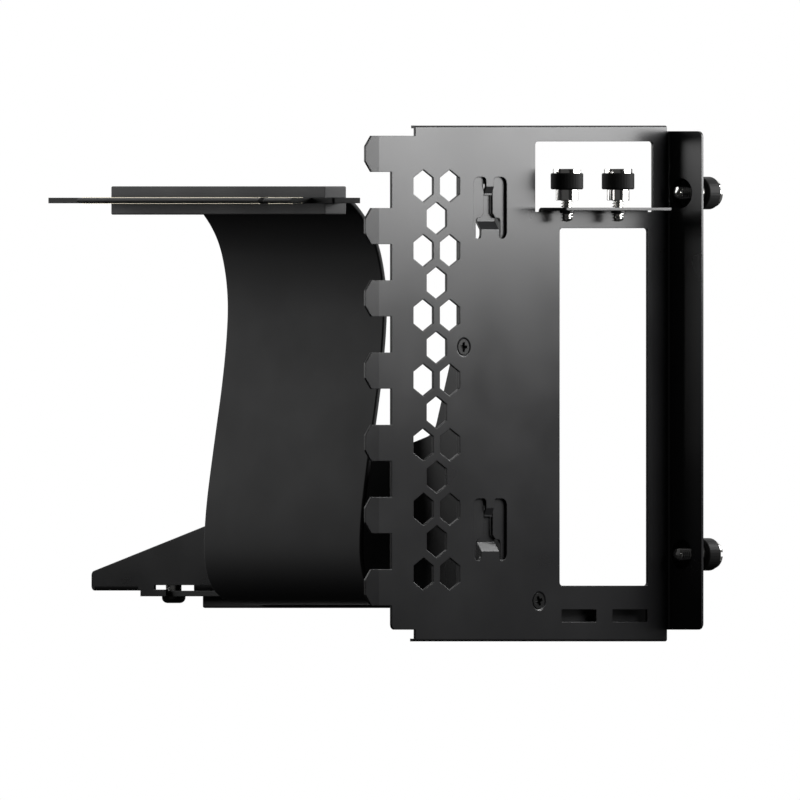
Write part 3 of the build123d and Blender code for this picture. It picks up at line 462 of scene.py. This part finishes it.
def cap_with_slot(rod):
    """The cap: a disc split by its driver slot, whose two halves rise beside it."""
    low = THREAD_LEN + COLLAR_LEN + GRIP_LEN
    floor = low + CAP_LEN - DRIVER_SLOT_DEEP
    disc = bmesh.ops.create_circle(rod, cap_ends=True, segments=CAP_STEPS, radius=CAP_R,
                                   matrix=Matrix.Translation((0, 0, floor)))
    faces = set(disc["verts"][0].link_faces)
    for side in (-1, 1):
        geom = list(faces) + list({v for f in faces for v in f.verts})
        geom += list({e for f in faces for e in f.edges})
        cut = bmesh.ops.bisect_plane(rod, geom=geom, plane_co=(0, side * DRIVER_SLOT_W / 2, 0),
                                     plane_no=(0, 1, 0))
        faces = {f for f in cut["geom"] if isinstance(f, bmesh.types.BMFace)}
    rim = [e for f in faces for e in f.edges if e.is_boundary]
    down = bmesh.ops.extrude_edge_only(rod, edges=rim)
    lower = [v for v in down["geom"] if isinstance(v, bmesh.types.BMVert)]
    bmesh.ops.translate(rod, verts=lower, vec=(0, 0, low - floor))
    bmesh.ops.contextual_create(rod, geom=[e for e in down["geom"]
                                           if isinstance(e, bmesh.types.BMEdge) and e.is_boundary])
    halves = [f for f in faces if abs(f.calc_center_median().y) > DRIVER_SLOT_W / 2]
    up = bmesh.ops.extrude_face_region(rod, geom=halves)
    raised = [v for v in up["geom"] if isinstance(v, bmesh.types.BMVert)]
    bmesh.ops.translate(rod, verts=raised, vec=(0, 0, DRIVER_SLOT_DEEP))
    bmesh.ops.delete(rod, geom=halves, context="FACES_ONLY")
    tops = [f for f in up["geom"] if isinstance(f, bmesh.types.BMFace)]
    bmesh.ops.bevel(rod, geom=list({e for f in tops for e in f.edges}), offset=CAP_SOFT,
                    offset_type="OFFSET", segments=2, profile=0.5, affect="EDGES", material=-1)


def turned_metal():
    """The bright part of a thumbscrew, with its tip at the origin and its cap up."""
    whole = bmesh.new()
    for shape in (cut_thread, turn_collar, cap_with_slot):
        rod = bmesh.new()
        shape(rod)
        whole.from_mesh(as_mesh(rod, shape.__name__))
    mesh = bpy.data.meshes.new("turned_metal")
    whole.to_mesh(mesh)
    whole.free()
    return mesh


def knurled_grip():
    """A ribbed ring: its outline turned with its bore, and every fourth line pressed in."""
    ring = bmesh.new()
    low = THREAD_LEN + COLLAR_LEN
    high = low + GRIP_LEN
    profile = [(CORE_R, low)]
    for step in range(GRIP_ROUND_STEPS + 1):
        slope = step / GRIP_ROUND_STEPS * math.pi / 2
        profile.append((GRIP_R - GRIP_ROUND * (1 - math.sin(slope)),
                        low + GRIP_ROUND * (1 - math.cos(slope))))
    profile += [(radius, low + high - height) for radius, height in reversed(profile)]
    line = [ring.verts.new((radius, 0, height)) for radius, height in profile]
    edges = [ring.edges.new(pair) for pair in zip(line, line[1:] + line[:1])]
    bmesh.ops.spin(ring, geom=line + edges, cent=(0, 0, 0), axis=(0, 0, 1),
                   angle=2 * math.pi, steps=LINES_PER_RIB * GRIP_RIBS, use_merge=True)
    for v in ring.verts:
        share = math.atan2(v.co.y, v.co.x) / (2 * math.pi) * GRIP_RIBS
        on_a_rib_line = abs(share - round(share)) < 0.5 / LINES_PER_RIB
        if on_a_rib_line and math.hypot(v.co.x, v.co.y) > CORE_R + GRIP_ROUND:
            v.co.xy *= 1 - GRIP_RIB_DEPTH / GRIP_R
    return as_mesh(ring, "knurled_grip")


nickel = bright_metal("nickel_plate", (0.78, 0.77, 0.75), 0.13, 700, 0.002 * MM)
card_grip = black_finish("card_grip", (0.014, 0.014, 0.014), 0.5, 1500, 0.003 * MM, edge=0,
                         gleam=0.05)
case_grip = black_finish("case_grip", (0.014, 0.014, 0.014), 0.4, 1500, 0.003 * MM, edge=0,
                         gleam=0.06)
SCREWS = (
    ("card_screw_left", "left_card_thumbscrew", "Z", 0),
    ("card_screw_right", "right_card_thumbscrew", "Z", 0),
    ("case_screw_lower", "lower_case_thumbscrew", "X", 90),
    ("case_screw_upper", "upper_case_thumbscrew", "X", 72),
)
for name, body, axis, turned in SCREWS:
    low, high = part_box(name)
    tip = (low + high) / 2
    if axis == "Z":
        black = card_grip
        tip.z = low.z
        place = Matrix.Translation(tip) @ Matrix.Rotation(math.radians(turned), 4, "Z")
    else:
        black = case_grip
        tip.x = low.x
        place = (Matrix.Translation(tip) @ Matrix.Rotation(math.pi / 2, 4, "Y")
                 @ Matrix.Rotation(math.radians(turned), 4, "Z"))
    metal, grip = turned_metal(), knurled_grip()
    metal.transform(place)
    grip.transform(place)
    stand_in(name + "_metal", metal, nickel, body, "screw_metal", name)
    stand_in(name + "_ring", grip, black, body, "grip", name + "_grip")


# Captive retainers: two small black cups on the flange's outer face, which keep the case
# thumbscrews from falling out of their holes.

dress(black_finish("retainer_black", (0.01, 0.01, 0.01), 0.5, 1500, 0.004 * MM),
      "captive_retainer_lower", "captive_retainer_upper")


# Camera: level, square to nothing, 45 degrees to the left of the plate's normal, and far
# enough away to show no perspective, so it is orthographic.

VIEW_WIDTH = 0.22497
VIEW_MIDDLE = Vector((-0.0319, 0.080, -0.0074))
VIEW_DISTANCE = 1.0
VIEW_END = 20

camera = bpy.data.cameras.new("camera")
camera.type = "ORTHO"
camera.ortho_scale = VIEW_WIDTH
camera.clip_end = VIEW_END
eye = bpy.data.objects.new("camera", camera)
bpy.context.scene.collection.objects.link(eye)
bpy.context.scene.camera = eye
looking = Vector((1, 1, 0)).normalized()
eye.location = VIEW_MIDDLE - VIEW_DISTANCE * looking
eye.rotation_mode = "QUATERNION"
eye.rotation_quaternion = looking.to_track_quat("-Z", "Y")


# Studio: a pale floor that only the camera sees, a key box to the right, a faint one below
# it and a wide one behind on the left. The surround is white to the camera, and in
# reflections white from behind and above, faint from the left, and else nearly dark.

FLOOR_HALF = 3
FLOOR_GAP = 0.2 * MM
REAR_SKY = 1.0
LEFT_SKY = 0.05
REST_OF_SKY = 0.012


def softbox(name, place, aim, size, power):
    """A lit rectangle. Its size and place are in metres and its power is in watts."""
    light = bpy.data.lights.new(name, "AREA")
    light.shape = "RECTANGLE"
    light.size, light.size_y = size
    light.energy = power
    lamp = bpy.data.objects.new(name, light)
    lamp.location = place
    lamp.rotation_mode = "QUATERNION"
    lamp.rotation_quaternion = (Vector(aim) - Vector(place)).to_track_quat("-Z", "Y")
    bpy.context.scene.collection.objects.link(lamp)


floor_mesh = bmesh.new()
bmesh.ops.create_grid(floor_mesh, x_segments=1, y_segments=1, size=FLOOR_HALF)
floor_data = bpy.data.meshes.new("floor")
floor_mesh.to_mesh(floor_data)
floor_mesh.free()
floor = bpy.data.objects.new("floor", floor_data)
floor_data.transform(Matrix.Translation((0, 0, cad_box[0].z - FLOOR_GAP)))
pale = bpy.data.materials.new("pale_floor")
pale.use_nodes = True
pale.node_tree.nodes["Principled BSDF"].inputs["Base Color"].default_value = (0.8, 0.8, 0.8, 1)
pale.node_tree.nodes["Principled BSDF"].inputs["Roughness"].default_value = 0.9
floor_data.materials.append(pale)
bpy.context.scene.collection.objects.link(floor)
floor.visible_diffuse = False
floor.visible_glossy = False

softbox("key_box", (0.131, -0.169, 0.12), (-0.066, -0.015, 0.12), (0.34, 0.16), 1.62)
softbox("low_box", (0.147, -0.149, -0.07), (-0.05, 0.005, -0.07), (0.289, 0.22), 0.025)
softbox("left_box", (-0.28, 0.441, 0.14), (-0.045, 0.0, 0.14), (0.445, 0.28), 1.0)

world = bpy.data.worlds.new("surround")
bpy.context.scene.world = world
world.use_nodes = True
sky = world.node_tree
way = sky.nodes.new("ShaderNodeTexCoord")


def part_of_sky(toward, start, full, strength):
    """Light from one side of the surround, which fades in as a ray's cosine nears its way."""
    near = sky.nodes.new("ShaderNodeVectorMath")
    near.operation = "DOT_PRODUCT"
    near.inputs[1].default_value = Vector(toward).normalized()
    sky.links.new(way.outputs["Generated"], near.inputs[0])
    fade = sky.nodes.new("ShaderNodeMapRange")
    fade.interpolation_type = "SMOOTHSTEP"
    fade.inputs["From Min"].default_value = start
    fade.inputs["From Max"].default_value = full
    fade.inputs["To Max"].default_value = strength
    sky.links.new(near.outputs["Value"], fade.inputs["Value"])
    return fade.outputs["Result"]


room = sky.nodes.new("ShaderNodeMath")
room.operation = "ADD"
sky.links.new(part_of_sky((1, 1, 0.6), 0.72, 0.85, REAR_SKY), room.inputs[0])
sky.links.new(part_of_sky((-0.88, -0.47, 0), 0.78, 0.83, LEFT_SKY), room.inputs[1])
lit = sky.nodes.new("ShaderNodeMath")
lit.operation = "ADD"
lit.inputs[1].default_value = REST_OF_SKY
sky.links.new(room.outputs["Value"], lit.inputs[0])
dim = sky.nodes["Background"]
dim.inputs["Color"].default_value = (1, 1, 1, 1)
sky.links.new(lit.outputs["Value"], dim.inputs["Strength"])
white = sky.nodes.new("ShaderNodeBackground")
white.inputs["Color"].default_value = (1, 1, 1, 1)
seen = sky.nodes.new("ShaderNodeLightPath")
either = sky.nodes.new("ShaderNodeMixShader")
sky.links.new(seen.outputs["Is Camera Ray"], either.inputs["Fac"])
sky.links.new(dim.outputs["Background"], either.inputs[1])
sky.links.new(white.outputs["Background"], either.inputs[2])
sky.links.new(either.outputs["Shader"], sky.nodes["World Output"].inputs["Surface"])
bpy.context.scene.view_settings.view_transform = "Standard"
